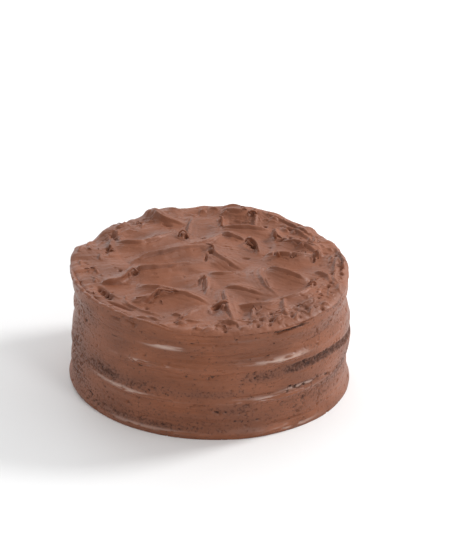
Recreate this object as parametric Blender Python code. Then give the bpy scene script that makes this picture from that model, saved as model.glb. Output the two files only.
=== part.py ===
"""Round chocolate fudge cake: three sponge layers, two fillings, a thin side coat and a swirled top.

The frame is +Z up, with the origin at the middle of the flat base. The front of the cake faces -Y.
Lengths are in millimetres until a mesh is made, and angles round the side are in degrees, 0 at
the front (-Y) and 90 at the right (+X).
"""

import math
from collections import namedtuple

import bmesh
import bpy
import numpy as np

MM = 0.001

# Layers, from the bottom up
SPONGE_RADIUS = 95.6
UPPER_SPONGE_RADIUS = 93.0
LOWER_SPONGE_TOP = 25.1
MIDDLE_SPONGE_BOTTOM = 28.8
MIDDLE_SPONGE_TOP = 50.8
UPPER_SPONGE_BOTTOM = 56.2
UPPER_SPONGE_TOP = 77.2
FILLING_BULGE_RADIUS = 99.2
GAP = 0.3
SPONGE_SEGMENTS = 72

# Side coat
COAT_RADIUS = 98.2
COAT_THINNEST = 0.9
COAT_BOTTOM = 0.6
COAT_TOP = 77.2
COAT_WAVE = 0.35
COAT_WAVE_LENGTH = 14.0
COLUMNS = 90
ROW_HEIGHT = 3.6
EDGE_EASING = 3

BAND_EDGES = (
    COAT_BOTTOM,
    LOWER_SPONGE_TOP,
    MIDDLE_SPONGE_BOTTOM,
    MIDDLE_SPONGE_TOP,
    UPPER_SPONGE_BOTTOM,
    COAT_TOP,
)

# Top icing
TOP_BOTTOM = 77.5
TOP_RADIUS = 97.4
RIM_SHIFT_TO_LEFT = 0.7
TOP_FLOOR = 84.2
TOP_RISE_TO_BACK = 0.03
TOP_RISE_TO_LEFT = 0.008
TOP_RINGS = 30
RIM_ROUND = 3.0
RIM_DROP = 1.6
NOTCH_DEPTH = 1.3
CREST_ROUND = 2.0
UNION_POWER = 5
SWEEP_STEPS = 14

# A ridge that a spatula left: a bend through three places, its height over the floor, and how far
# it reaches on its steep side (the right of the travel) and on its gentle side
Ridge = namedtuple("Ridge", "start middle end height steep gentle")
# A curl that stands up: its place, height and reach
Curl = namedtuple("Curl", "x y height reach")
# A scooped hollow: its place, half sizes, turn in degrees and depth
Scoop = namedtuple("Scoop", "x y half_x half_y turn depth")
# A stretch of the rim that stands higher or lower; its angle is from +X towards the back
Bank = namedtuple("Bank", "angle half_angle height")
# A swelling (or, with a negative depth, a waist) of the side coat
Swell = namedtuple("Swell", "z depth half_z angle half_angle")
# An opening in the side coat, from one angle to another and from one height to another
Window = namedtuple("Window", "from_angle to_angle bottom top")

RIDGES = (
    # Left back
    Ridge((-58, 2), (-30, 16), (0, 30), 4.5, 13, 18),
    Ridge((0, 30), (4, 14), (23, -2), 4.0, 13, 14),
    Ridge((-69, 34), (-48, 30), (-24, 57), 4.5, 15, 12),
    Ridge((-43, 85), (-35, 68), (-23, 57), 4.5, 14, 10),
    Ridge((-22, 32), (-4, 35), (7, 53), 3.0, 8, 14),
    Ridge((-13, 79), (-17, 56), (-16, 40), 3.0, 5, 14),
    Ridge((-69, 51), (-71, 33), (-73, 10), 3.0, 5, 8),
    # Left front
    Ridge((-60, -9), (-36, -8), (-8, 5), 4.0, 11, 16),
    Ridge((-76, -31), (-62, -26), (-55, -10), 3.6, 6, 10),
    Ridge((-52, -37), (-28, -43), (0, -57), 4.0, 13, 14),
    Ridge((-54, -55), (-43, -53), (-35, -41), 3.0, 6, 7),
    Ridge((1, -62), (-9, -67), (-20, -83), 2.6, 9, 9),
    Ridge((-60, -52), (-50, -66), (-33, -76), 1.5, 5, 6),
    # Right front
    Ridge((50, -42), (35, -19), (38, 1), 3.5, 8, 14),
    Ridge((40, 0), (53, -9), (68, -16), 4.0, 14, 9),
    Ridge((46, -46), (62, -40), (71, -22), 3.2, 9, 7),
    Ridge((16, -57), (34, -58), (50, -44), 2.8, 7, 10),
    Ridge((10, -35), (10, -53), (16, -81), 4.0, 8, 10),
    Ridge((9, -31), (22, -34), (38, -39), 2.0, 10, 12),
    Ridge((-3, -13), (10, -15), (24, -8), 3.4, 18, 12),
    Ridge((-5, -15), (-3, -33), (-5, -50), 3.4, 8, 8),
    Ridge((30, -61), (29, -68), (28, -80), 2.2, 5, 6),
    Ridge((52, -43), (50, -57), (52, -72), 2.2, 5, 6),
    Ridge((88, 16), (86, -5), (85, -27), 1.5, 4, 6),
    Ridge((72, -3), (80, -10), (83, -21), 1.8, 5, 7),
    # Right back
    Ridge((7, 54), (15, 47), (25, 43), 3.0, 7, 12),
    Ridge((25, 42), (31, 38), (33, 19), 3.8, 5, 8),
    Ridge((7, 63), (25, 60), (44, 60), 3.2, 11, 8),
    Ridge((6, 78), (7, 72), (7, 63), 2.5, 4, 5),
    Ridge((30, 90), (31, 78), (30, 60), 3.0, 5, 6),
    Ridge((50, 44), (66, 37), (76, 24), 4.0, 7, 12),
    Ridge((50, 48), (57, 41), (63, 29), 1.8, 5, 8),
    Ridge((38, 20), (56, 17), (75, 22), 4.2, 14, 12),
    Ridge((46, 63), (46, 54), (46, 45), 2.5, 5, 5),
    Ridge((8, 91), (18, 84), (28, 90), 2.5, 8, 8),
)
CURLS = (
    Curl(-21, 47, 5.0, 4),
    Curl(-55, -13, 6.5, 5),
    Curl(0, 27, 6.5, 5),
    Curl(-5, -19, 5.0, 4),
    Curl(-34, -44, 6.0, 5),
    Curl(-27, -46, 5.5, 4),
    Curl(8, -60, 6.5, 5),
    Curl(28, 41, 6.0, 5),
    Curl(6, 75, 4.0, 4),
    Curl(46, 53, 5.0, 4),
    Curl(46, 17, 6.0, 5),
    Curl(58, 16, 5.0, 4),
    Curl(64, 35, 6.0, 5),
    Curl(76, 23, 6.0, 5),
    Curl(70, -23, 5.0, 4),
)
SCOOPS = (
    Scoop(52, -26, 15, 13, 0, 3.0),
    Scoop(28, -46, 18, 8, 0, 1.6),
    Scoop(-32, 0, 26, 7, 18, 1.6),
    Scoop(-30, -28, 22, 8, -12, 1.8),
    Scoop(-55, 46, 13, 9, 0, 1.6),
    Scoop(-42, 17, 22, 7, 24, 1.4),
    Scoop(-5, 56, 8, 16, 0, 1.6),
    Scoop(60, 30, 10, 6, -20, 2.4),
    Scoop(38, 40, 8, 12, 0, 1.8),
    Scoop(18, 72, 9, 9, 0, 1.8),
    Scoop(11, -2, 12, 6, 0, 1.6),
    Scoop(3, -64, 6, 5, 30, 3.0),
    Scoop(21, -69, 5, 9, 0, 1.8),
    Scoop(-33, -62, 18, 9, 0, 1.4),
)
BANKS = (
    Bank(70, 14, 3.2),
    Bank(117, 5, 3.6),
    Bank(111, 5, 1.4),
    Bank(91, 7, 1.0),
    Bank(152, 8, -2.4),
    Bank(130, 8, -1.4),
    Bank(171, 7, 2.6),
    Bank(42, 4, 1.6),
    Bank(24, 6, 1.6),
    Bank(8, 7, 1.8),
    Bank(184, 5, 1.2),
)
BANK_INSIDE = 74.0
BANK_FULL = 94.0
RIM_FLAKES = 40
RIM_FLAKE_SEED = 11
OUTLINE_WAVES = 9
OUTLINE_WAVE = 0.28
OUTLINE_SEED = 5

SWELLS = (
    # Right
    Swell(64, -3.0, 7, 90, 55),
    Swell(75, -1.4, 9, 90, 60),
    Swell(36.5, 2.1, 6, 95, 50),
    Swell(50, 1.0, 4.5, 92, 50),
    Swell(20, -1.3, 7, 95, 60),
    Swell(0, 2.0, 6, 92, 60),
    # Left
    Swell(66, -2.5, 9, -90, 50),
    Swell(51, -2.1, 7, -92, 50),
    Swell(27, -0.6, 4, -90, 50),
    Swell(4, 1.0, 6, -90, 50),
    # Front
    Swell(60, -0.9, 3, 10, 45),
    Swell(53, 1.2, 2.5, -26, 14),
    Swell(56, 1.4, 2.5, 31, 13),
    Swell(27, 0.9, 2.5, -26, 16),
    Swell(27, 0.9, 2.5, 29, 18),
    Swell(68, 0.8, 3, -18, 12),
    Swell(4, 0.9, 2.5, -10, 60),
    # Back
    Swell(62, 1.4, 8, 170, 50),
    Swell(45, -1.2, 6, -150, 40),
    Swell(27, 1.0, 4, 160, 50),
)
WINDOWS = (
    # The bare strip of the middle sponge, and the thinly coated patch on the left
    Window(32, 64, 43, MIDDLE_SPONGE_TOP),
    Window(60, 80, 38, 47),
    Window(-56, -44, 33, 40),
    # The fillings, where they swell out to the surface
    Window(-40, -12, LOWER_SPONGE_TOP, MIDDLE_SPONGE_BOTTOM),
    Window(12, 44, LOWER_SPONGE_TOP, MIDDLE_SPONGE_BOTTOM),
    Window(-36, -16, MIDDLE_SPONGE_TOP, UPPER_SPONGE_BOTTOM),
    Window(20, 40, MIDDLE_SPONGE_TOP, UPPER_SPONGE_BOTTOM),
)

SPONGE_COLOR = (0.055, 0.027, 0.018, 1)
ICING_COLOR = (0.24, 0.105, 0.062, 1)
FILLING_COLOR = (0.27, 0.125, 0.078, 1)


def clear_scene():
    for obj in list(bpy.data.objects):
        bpy.data.objects.remove(obj)


def make_material(name, color, roughness):
    material = bpy.data.materials.new(name)
    material.use_nodes = True
    shader = material.node_tree.nodes["Principled BSDF"]
    shader.inputs["Base Color"].default_value = color
    shader.inputs["Roughness"].default_value = roughness
    shader.inputs["Metallic"].default_value = 0.0
    return material


def make_object(name, points, faces, material):
    """A smooth mesh object from points in millimetres."""
    mesh = bpy.data.meshes.new(name)
    mesh.from_pydata([tuple(point) for point in np.asarray(points) * MM], [], faces)
    mesh.shade_smooth()
    mesh.set_sharp_from_angle(angle=math.radians(50))
    mesh.materials.append(material)
    obj = bpy.data.objects.new(name, mesh)
    bpy.context.scene.collection.objects.link(obj)
    return obj


def bend_through(start, middle, end, steps):
    """Points of the quadratic bend that passes through the middle place halfway along."""
    start, middle, end = (np.array(place, float) for place in (start, middle, end))
    control = 2 * middle - (start + end) / 2
    t = np.linspace(0, 1, steps + 1)[:, None]
    return (1 - t) ** 2 * start + 2 * t * (1 - t) * control + t**2 * end


def ridge_rise(x, y, ridge):
    """How far one ridge lifts the surface: sharp at its crest, and fading at both ends."""
    line = bend_through(ridge.start, ridge.middle, ridge.end, SWEEP_STEPS)
    nearest = np.full(x.shape, np.inf)
    along = np.zeros(x.shape)
    on_right = np.zeros(x.shape, bool)
    for i, (a, b) in enumerate(zip(line, line[1:])):
        step = b - a
        share = ((x - a[0]) * step[0] + (y - a[1]) * step[1]) / (step @ step)
        share = np.clip(share, 0, 1)
        dx = x - a[0] - share * step[0]
        dy = y - a[1] - share * step[1]
        squared = dx**2 + dy**2
        closer = squared < nearest
        nearest = np.where(closer, squared, nearest)
        along = np.where(closer, (i + share) / SWEEP_STEPS, along)
        on_right = np.where(closer, step[0] * dy - step[1] * dx < 0, on_right)
    away = np.sqrt(nearest + CREST_ROUND**2) - CREST_ROUND
    reach = np.where(on_right, ridge.steep, ridge.gentle)
    taper = 1 - np.abs(2 * along - 1) ** 6
    return ridge.height * taper * np.clip(1 - away / reach, 0, 1) ** 1.7


def curl_rise(x, y, curl):
    away = np.hypot(x - curl.x, y - curl.y) / curl.reach
    return curl.height * np.clip(1 - away, 0, 1) ** 1.5


def scoop_depth(x, y, scoop):
    turn = math.radians(scoop.turn)
    dx = x - scoop.x
    dy = y - scoop.y
    u = (dx * math.cos(turn) + dy * math.sin(turn)) / scoop.half_x
    v = (dy * math.cos(turn) - dx * math.sin(turn)) / scoop.half_y
    return scoop.depth * np.exp(-(u**2 + v**2))


def bank_rise(x, y):
    """How far the banks lift or lower the surface; they fade in from the middle to the rim."""
    angle = np.degrees(np.arctan2(y, x))
    share = np.clip((np.hypot(x, y) - BANK_INSIDE) / (BANK_FULL - BANK_INSIDE), 0, 1)
    inside = share * share * (3 - 2 * share)
    rise = np.zeros(x.shape)
    for bank in BANKS:
        apart = (angle - bank.angle + 180) % 360 - 180
        rise += bank.height * inside * np.exp(-((apart / bank.half_angle) ** 4))
    return rise


def rim_flakes():
    """Short broken ridges that lie along the rim, where the spatula lifted off."""
    draw = np.random.default_rng(RIM_FLAKE_SEED)
    flakes = []
    for i in range(RIM_FLAKES):
        angle = 2 * math.pi * (i + draw.uniform(-0.4, 0.4)) / RIM_FLAKES
        radius = draw.uniform(83, 93)
        half = draw.uniform(4, 8)
        turn = angle + math.pi / 2 + draw.uniform(-0.6, 0.6)
        middle = np.array([math.cos(angle), math.sin(angle)]) * radius
        reach = np.array([math.cos(turn), math.sin(turn)]) * half
        flakes.append(Ridge(middle - reach, middle, middle + reach, draw.uniform(1, 2.4), 3.5, 5))
    return flakes


def top_height(x, y):
    """The height of the top icing's surface over the base, in millimetres."""
    rises = [ridge_rise(x, y, ridge) for ridge in (*RIDGES, *rim_flakes())]
    rises += [curl_rise(x, y, curl) for curl in CURLS]
    relief = sum(rise**UNION_POWER for rise in rises) ** (1 / UNION_POWER)
    hollow = sum(scoop_depth(x, y, scoop) for scoop in SCOOPS)
    floor = TOP_FLOOR + TOP_RISE_TO_BACK * y - TOP_RISE_TO_LEFT * x
    return floor + relief - hollow + bank_rise(x, y)


def outline_radius(angle):
    """The rim's slightly uneven radius; the angle is in radians from +X."""
    draw = np.random.default_rng(OUTLINE_SEED)
    radius = TOP_RADIUS - RIM_SHIFT_TO_LEFT * np.cos(angle)
    for wave in range(3, 3 + OUTLINE_WAVES):
        radius = radius + OUTLINE_WAVE * draw.normal() * np.sin(wave * angle + draw.uniform(0, 6.28))
    return radius


def ring_start(ring):
    return 0 if ring == 0 else 1 + 3 * ring * (ring - 1)


def disc_faces(rings):
    """Triangles of a disc whose ring k holds 6k points round one centre point."""
    faces = []
    for ring in range(1, rings + 1):
        outer_count = 6 * ring
        inner_count = max(1, outer_count - 6)
        for sector in range(6):
            for j in range(ring):
                first = ring_start(ring) + sector * ring + j
                second = ring_start(ring) + (sector * ring + j + 1) % outer_count
                inner = ring_start(ring - 1) + (sector * (ring - 1) + j) % inner_count
                faces.append((inner, first, second))
                if j < ring - 1:
                    inner_next = ring_start(ring - 1) + (sector * (ring - 1) + j + 1) % inner_count
                    faces.append((inner, second, inner_next))
    return faces


def disc_places(rings):
    """Each point's share of the radius and its angle in radians from +X."""
    share = [0.0]
    angle = [0.0]
    for ring in range(1, rings + 1):
        share += [ring / rings] * (6 * ring)
        angle += [2 * math.pi * i / (6 * ring) for i in range(6 * ring)]
    return np.array(share), np.array(angle)


def make_top_icing(material):
    """The swirled cap: a relief disc, a rounded rim over a notch, and a flat underside."""
    share, angle = disc_places(TOP_RINGS)
    radius = share * outline_radius(angle)
    x = radius * np.cos(angle)
    y = radius * np.sin(angle)
    over_edge = np.clip(1 - (outline_radius(angle) - radius) / RIM_ROUND, 0, 1)
    z = top_height(x, y) - RIM_DROP * over_edge**2
    points = [np.stack([x, y, z], axis=1)]

    rim_count = 6 * TOP_RINGS
    rim_angle = angle[-rim_count:]
    rim_top = z[-rim_count:]
    rim_radius = outline_radius(rim_angle)
    for level, inset in ((0.72, -0.3), (0.35, NOTCH_DEPTH), (0.0, NOTCH_DEPTH - 0.6)):
        row_radius = rim_radius - inset
        row_z = TOP_BOTTOM + level * (rim_top - TOP_BOTTOM)
        row = [row_radius * np.cos(rim_angle), row_radius * np.sin(rim_angle), row_z]
        points.append(np.stack(row, axis=1))
    faces = disc_faces(TOP_RINGS)
    first = ring_start(TOP_RINGS)
    rows = 3
    for row in range(rows):
        for i in range(rim_count):
            j = (i + 1) % rim_count
            upper = first + row * rim_count
            lower = upper + rim_count
            faces.append((upper + i, lower + i, lower + j, upper + j))
    bottom = first + rows * rim_count
    faces.append(tuple(reversed(range(bottom, bottom + rim_count))))
    return make_object("top_icing", np.concatenate(points), faces, material)


def column_angle(column):
    """The angle of a column of the side coat, in degrees from the front."""
    return column * 360 / COLUMNS - 180


def on_side(radius, degrees):
    """The place at a radius and at an angle from the front, positive to the right."""
    return radius * math.sin(math.radians(degrees)), -radius * math.cos(math.radians(degrees))


def coat_levels():
    """Heights of the coat's rows: every band edge, with even rows between them."""
    levels = []
    for low, high in zip(BAND_EDGES, BAND_EDGES[1:]):
        steps = max(1, round((high - low) / ROW_HEIGHT))
        levels += [low + (high - low) * i / steps for i in range(steps)]
    return levels + [COAT_TOP]


def layer_radius(z):
    """The radius of the layers behind the coat; it narrows through the upper filling."""
    heights = (MIDDLE_SPONGE_TOP, UPPER_SPONGE_BOTTOM)
    return float(np.interp(z, heights, (SPONGE_RADIUS, UPPER_SPONGE_RADIUS)))


def coat_radius(degrees, z):
    """The outer radius of the side coat at an angle from the front and a height."""
    sway = math.sin(2 * math.radians(degrees))
    radius = COAT_RADIUS + COAT_WAVE * math.sin(2 * math.pi * z / COAT_WAVE_LENGTH + sway)
    for swell in SWELLS:
        apart = (degrees - swell.angle + 180) % 360 - 180
        up = (z - swell.z) / swell.half_z
        radius += swell.depth * math.exp(-(up**2) - (apart / swell.half_angle) ** 2)
    return max(radius, layer_radius(z) + GAP + COAT_THINNEST)


def is_open(column, low, high):
    """Whether a window takes out the cell between this column and the next."""
    middle_angle = column_angle(column + 0.5)
    middle_z = (low + high) / 2
    for window in WINDOWS:
        beside = window.from_angle < middle_angle < window.to_angle
        if beside and window.bottom < middle_z < window.top:
            return True
    return False


def ease_window_edges(places, closed):
    """Rounds the stepped edges of the windows, where they aren't on a band's edge."""
    links = {}
    for row, column in places:
        if closed(row, column) != closed(row, column - 1):
            links.setdefault((row, column), []).append((row + 1, column))
            links.setdefault((row + 1, column), []).append((row, column))
        if closed(row, column) != closed(row - 1, column):
            following = (row, (column + 1) % COLUMNS)
            links.setdefault((row, column), []).append(following)
            links.setdefault(following, []).append((row, column))
    movable = [place for place, ends in links.items() if places[place][1] not in BAND_EDGES]
    for _ in range(EDGE_EASING):
        eased = {}
        for place in movable:
            near = [places[place], places[place]] + [places[end] for end in links[place]]
            eased[place] = tuple(sum(values) / len(near) for values in zip(*near))
        places.update(eased)


def make_side_coat(material):
    """The thin coat round the layers, with its windows, made from a grid of cells."""
    levels = coat_levels()

    def closed(row, column):
        inside = 0 <= row < len(levels) - 1
        return inside and not is_open(column % COLUMNS, levels[row], levels[row + 1])

    places = {}
    for row, z in enumerate(levels):
        for column in range(COLUMNS):
            places[row, column] = (column_angle(column), z)
    ease_window_edges(places, closed)
    points = []
    for degrees, z in places.values():
        for radius in (coat_radius(degrees, z), layer_radius(z) + GAP):
            points.append((*on_side(radius, degrees), z))

    def index(row, column, inner):
        return 2 * (row * COLUMNS + column % COLUMNS) + inner

    faces = []
    for row in range(len(levels) - 1):
        for column in range(COLUMNS):
            if not closed(row, column):
                continue
            corners = ((row, column), (row, column + 1), (row + 1, column + 1), (row + 1, column))
            faces.append(tuple(index(*corner, 0) for corner in corners))
            faces.append(tuple(index(*corner, 1) for corner in reversed(corners)))
            beside = ((row - 1, column), (row, column + 1), (row + 1, column), (row, column - 1))
            for i, neighbour in enumerate(beside):
                if closed(*neighbour):
                    continue
                start, end = corners[i], corners[(i + 1) % 4]
                faces.append((index(*start, 1), index(*end, 1), index(*end, 0), index(*start, 0)))
    obj = make_object("side_icing", points, faces, material)
    drop_loose_points(obj.data)
    return obj


def drop_loose_points(mesh):
    shape = bmesh.new()
    shape.from_mesh(mesh)
    loose = [vert for vert in shape.verts if not vert.link_faces]
    bmesh.ops.delete(shape, geom=loose, context="VERTS")
    shape.to_mesh(mesh)
    shape.free()


def make_sponge(name, radius, bottom, top, material):
    mesh = bpy.data.meshes.new(name)
    shape = bmesh.new()
    bmesh.ops.create_cone(
        shape,
        cap_ends=True,
        segments=SPONGE_SEGMENTS,
        radius1=radius * MM,
        radius2=radius * MM,
        depth=(top - bottom) * MM,
    )
    shape.to_mesh(mesh)
    shape.free()
    mesh.shade_smooth()
    mesh.set_sharp_from_angle(angle=math.radians(50))
    mesh.materials.append(material)
    obj = bpy.data.objects.new(name, mesh)
    obj.location.z = (bottom + top) / 2 * MM
    bpy.context.scene.collection.objects.link(obj)
    return obj


def make_filling(name, radius, bottom, top, material):
    """A disc of icing between two sponges, which swells out through its windows in the coat."""
    points = []
    for z in (bottom, top):
        for column in range(COLUMNS):
            beside = (column - 1, column)
            shows = all(is_open(cell % COLUMNS, bottom - GAP, top + GAP) for cell in beside)
            reach = FILLING_BULGE_RADIUS if shows else radius
            points.append((*on_side(reach, column_angle(column)), z))
    faces = [tuple(reversed(range(COLUMNS))), tuple(range(COLUMNS, 2 * COLUMNS))]
    for column in range(COLUMNS):
        following = (column + 1) % COLUMNS
        faces.append((column, following, COLUMNS + following, COLUMNS + column))
    return make_object(name, points, faces, material)


def main():
    clear_scene()
    sponge = make_material("sponge", SPONGE_COLOR, 0.9)
    icing = make_material("icing", ICING_COLOR, 0.45)
    filling = make_material("filling", FILLING_COLOR, 0.4)
    make_sponge("sponge_lower", SPONGE_RADIUS, 0, LOWER_SPONGE_TOP, sponge)
    make_sponge("sponge_middle", SPONGE_RADIUS, MIDDLE_SPONGE_BOTTOM, MIDDLE_SPONGE_TOP, sponge)
    make_sponge("sponge_upper", UPPER_SPONGE_RADIUS, UPPER_SPONGE_BOTTOM, UPPER_SPONGE_TOP, sponge)
    lower = (LOWER_SPONGE_TOP + GAP, MIDDLE_SPONGE_BOTTOM - GAP)
    upper = (MIDDLE_SPONGE_TOP + GAP, UPPER_SPONGE_BOTTOM - GAP)
    make_filling("filling_lower", SPONGE_RADIUS, *lower, filling)
    make_filling("filling_upper", UPPER_SPONGE_RADIUS, *upper, filling)
    make_side_coat(icing)
    make_top_icing(icing)


main()
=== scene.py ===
"""Looks of a round chocolate fudge cake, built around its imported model.

Lengths are in millimetres until a mesh is made. The camera's distance, the lamps, the floor and
the materials are in metres. Angles round the side are in degrees, 0 at the front (-Y) and 90 at
the right (+X).
"""

import math
from collections import namedtuple

import bpy
import numpy as np
from mathutils import Matrix, Vector

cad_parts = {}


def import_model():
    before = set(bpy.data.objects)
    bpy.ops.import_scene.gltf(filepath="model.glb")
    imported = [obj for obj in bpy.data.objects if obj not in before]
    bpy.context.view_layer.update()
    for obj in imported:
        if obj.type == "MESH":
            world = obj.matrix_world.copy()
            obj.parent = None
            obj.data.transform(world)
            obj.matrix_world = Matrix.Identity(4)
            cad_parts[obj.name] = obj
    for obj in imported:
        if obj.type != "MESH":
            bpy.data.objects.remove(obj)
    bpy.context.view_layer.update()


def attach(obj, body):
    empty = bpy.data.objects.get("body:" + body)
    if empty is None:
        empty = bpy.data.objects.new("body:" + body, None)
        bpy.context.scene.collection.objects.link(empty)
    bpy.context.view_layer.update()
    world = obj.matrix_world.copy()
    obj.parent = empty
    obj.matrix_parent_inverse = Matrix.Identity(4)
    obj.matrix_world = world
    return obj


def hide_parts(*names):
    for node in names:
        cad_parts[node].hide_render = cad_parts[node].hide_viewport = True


MM = 0.001
NOISE_TABLE = 256

# Sizes repeated from the model's own source
LOWER_SPONGE_TOP = 25.1
MIDDLE_SPONGE_BOTTOM = 28.8
MIDDLE_SPONGE_TOP = 50.8
UPPER_SPONGE_BOTTOM = 56.2
UPPER_SPONGE_TOP = 77.2
COAT_RADIUS = 98.2
COAT_WAVE = 0.35
COAT_WAVE_LENGTH = 14.0
TOP_BOTTOM = 77.5
TOP_FLOOR = 84.2
TOP_RISE_TO_BACK = 0.03
TOP_RISE_TO_LEFT = 0.008

# How fine the meshes are
TOP_RINGS = 166
SIDE_COLUMNS = 704
SIDE_ROWS = 132
SPONGE_COLUMNS = 720
SPONGE_ROW_HEIGHT = 0.85
FILLING_ROWS = 9
RIBBON_SIDES = 8
RIBBON_STEPS = 6
SWEEP_STEPS = 14

# Crests of the top, the thin lip on them and the groove along their steep side
CREST_ROUND = 0.3
STEEP_POWER = 2.0
GENTLE_POWER = 1.4
TAPER_POWER = 3
LIP_HEIGHT = 0.8
LIP_WIDTH = 0.7
LIP_BACK = 0.4
GROOVE_DEPTH = 1.4
GROOVE_WIDTH = 0.9
GROOVE_OUT = 1.4
STREAK = 0.4

# Other forms of the top
CURL_POWER = 1.2
UNION_POWER = 6
PIT_RADIUS = 1.3
PIT_DEPTH = 2.6
RIBBON_STAND = 1.3

# The rim: the top icing overhangs the coat, except on the left, and turns under
RIM_ROUND = 4.0
RIM_DROP = 1.6
TOP_OVERHANG = 0.6
COVERED_INSET = 2.4
HEM_HEIGHT = 80.9
HEM_UNDER_RIM = 0.9

# Short broken ridges along the rim, with pairs of least and most
FLAKE_SEED = 11
FLAKE_COUNT = 84
FLAKE_RADII = (78, 95)
FLAKE_HALVES = (2.5, 8)
FLAKE_HEIGHTS = (0.4, 1.7)
FLAKE_STEEPS = (1.5, 4)
FLAKE_GENTLE = 6
FLAKE_LEAN = 0.4

# The side coat's lip: over the top's floor on the left, under it elsewhere
LIP_OVER_TOP = 1.0
LIP_UNDER_TOP = 2.2
LIP_FOLLOWS_BANKS = 0.6
LIP_ROUND = 0.8
# How it turns in: the inset from the coat's edge and the drop from the lip's height
LIP_TURN = ((0.25, 0.35), (0.8, 0.1), (1.6, 0.0), (2.4, 0.4), (3.2, 1.4), (5.0, 4.0))
COAT_INSIDE = 90.0

# Layers behind the coat; the lower filling laps over the middle sponge's foot
SPONGE_BEHIND = 1.0
FILLING_BEHIND = 1.2
LOWER_FILLING_TOP = MIDDLE_SPONGE_BOTTOM + 0.6
SMEAR_FADE = 6

# A ridge that a spatula left: a bend through three places, its height over the floor, how far it
# reaches on its steep side (the right of the travel) and its gentle side, and how far its crest
# leans over the steep side
Ridge = namedtuple("Ridge", "start middle end height steep gentle lean", defaults=(0.0,))
# A curl that stands up: its place, height and reach, and how far its tip leans
Curl = namedtuple("Curl", "x y height reach lean_x lean_y")
# A scooped hollow: its place, half sizes, turn in degrees and depth
Scoop = namedtuple("Scoop", "x y half_x half_y turn depth")
# A thin strip of icing that curls up: half its thickness, and places along it (x, y and the
# height over the floor)
Ribbon = namedtuple("Ribbon", "half places")
# A stretch of the rim that stands higher or lower; its angle is from +X towards the back
Bank = namedtuple("Bank", "angle half_angle height")
# A swelling (or, with a negative depth, a waist) of the side coat
Swell = namedtuple("Swell", "z depth half_z angle half_angle")
# A patch where the side coat is so thin that crumbs show, or where it is glossy with a painted
# highlight
Patch = namedtuple("Patch", "angle half_angle z half_z strength")
# A thin line in the side coat: where it starts and ends, how deep it cuts and half its width
Crease = namedtuple("Crease", "from_angle from_z to_angle to_z depth half")
# A glossy smear where a filling swells out through the coat
Smear = namedtuple("Smear", "from_angle to_angle depth")
# A round lamp that points at the cake's foot: its place, size, power and colour
Lamp = namedtuple("Lamp", "name place size watts color", defaults=((1, 1, 1),))

RIDGES = [Ridge(*row) for row in (
    # Left back
    ((-58, 2), (-30, 17), (6, 32), 5.8, 12, 18, 0.8),
    ((0, 30), (4, 14), (23, -2), 3.8, 18, 14),
    ((-69, 34), (-48, 30), (-24, 57), 5.2, 15, 14, 0.8),
    ((-43, 85), (-36, 70), (-18, 66), 4.0, 7, 12),
    ((-22, 32), (-4, 35), (7, 53), 3.4, 8, 14),
    ((-13, 79), (-17, 56), (-16, 40), 1.6, 9, 14),
    ((-69, 51), (-71, 33), (-73, 10), 2.4, 5, 8, 0.8),
    # Left front
    ((-60, -9), (-36, -8), (2, 9), 5.6, 11, 18, 0.8),
    ((-76, -31), (-62, -26), (-55, -10), 4.0, 4, 10, 1.0),
    ((-52, -37), (-28, -43), (0, -57), 5.0, 14, 16, 0.8),
    ((-54, -55), (-43, -53), (-35, -41), 3.4, 4, 8, 0.8),
    ((1, -62), (-9, -67), (-20, -83), 2.8, 9, 9),
    ((-60, -52), (-50, -66), (-33, -76), 1.5, 4, 6),
    # Right front
    ((50, -42), (35, -19), (38, 1), 3.2, 7, 14),
    ((40, 0), (53, -9), (68, -16), 4.4, 14, 9, 0.8),
    ((46, -46), (62, -40), (71, -22), 3.2, 9, 7),
    ((16, -57), (34, -58), (50, -44), 3.2, 7, 10, 0.6),
    ((10, -35), (10, -53), (16, -81), 2.9, 12, 14),
    ((9, -31), (22, -34), (38, -39), 2.0, 10, 12),
    ((-3, -13), (10, -15), (24, -8), 3.6, 18, 12),
    ((-5, -15), (-3, -33), (-5, -50), 2.4, 8, 10),
    ((30, -61), (29, -68), (28, -80), 2.0, 4, 6),
    ((52, -43), (50, -57), (52, -72), 2.0, 4, 6),
    ((88, 16), (86, -5), (85, -27), 1.5, 3, 6),
    ((72, -3), (80, -10), (83, -21), 1.8, 4, 7),
    # Right back
    ((7, 54), (15, 47), (25, 43), 3.2, 6, 12, 0.6),
    ((25, 42), (31, 38), (33, 19), 3.8, 5, 9, 0.8),
    ((7, 63), (25, 60), (44, 60), 3.8, 11, 9, 0.4),
    ((6, 78), (7, 72), (7, 63), 2.5, 4, 6),
    ((30, 90), (31, 78), (30, 60), 2.2, 6, 8),
    ((50, 44), (66, 37), (76, 24), 3.2, 12, 12, 0.8),
    ((50, 48), (57, 41), (63, 29), 1.8, 4, 8),
    ((38, 20), (56, 17), (75, 22), 4.8, 14, 12, 0.8),
    ((46, 63), (46, 54), (46, 45), 2.5, 5, 6),
    ((8, 91), (18, 84), (28, 90), 3.0, 8, 8),
    ((36, 84), (62, 64), (80, 38), 1.6, 2, 7, 0.6),
    ((48, 68), (64, 54), (74, 40), 1.8, 3, 7, 0.4),
    ((88, 34), (93, 12), (90, -14), 2.0, 3, 7, 0.4),
)]
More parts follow.
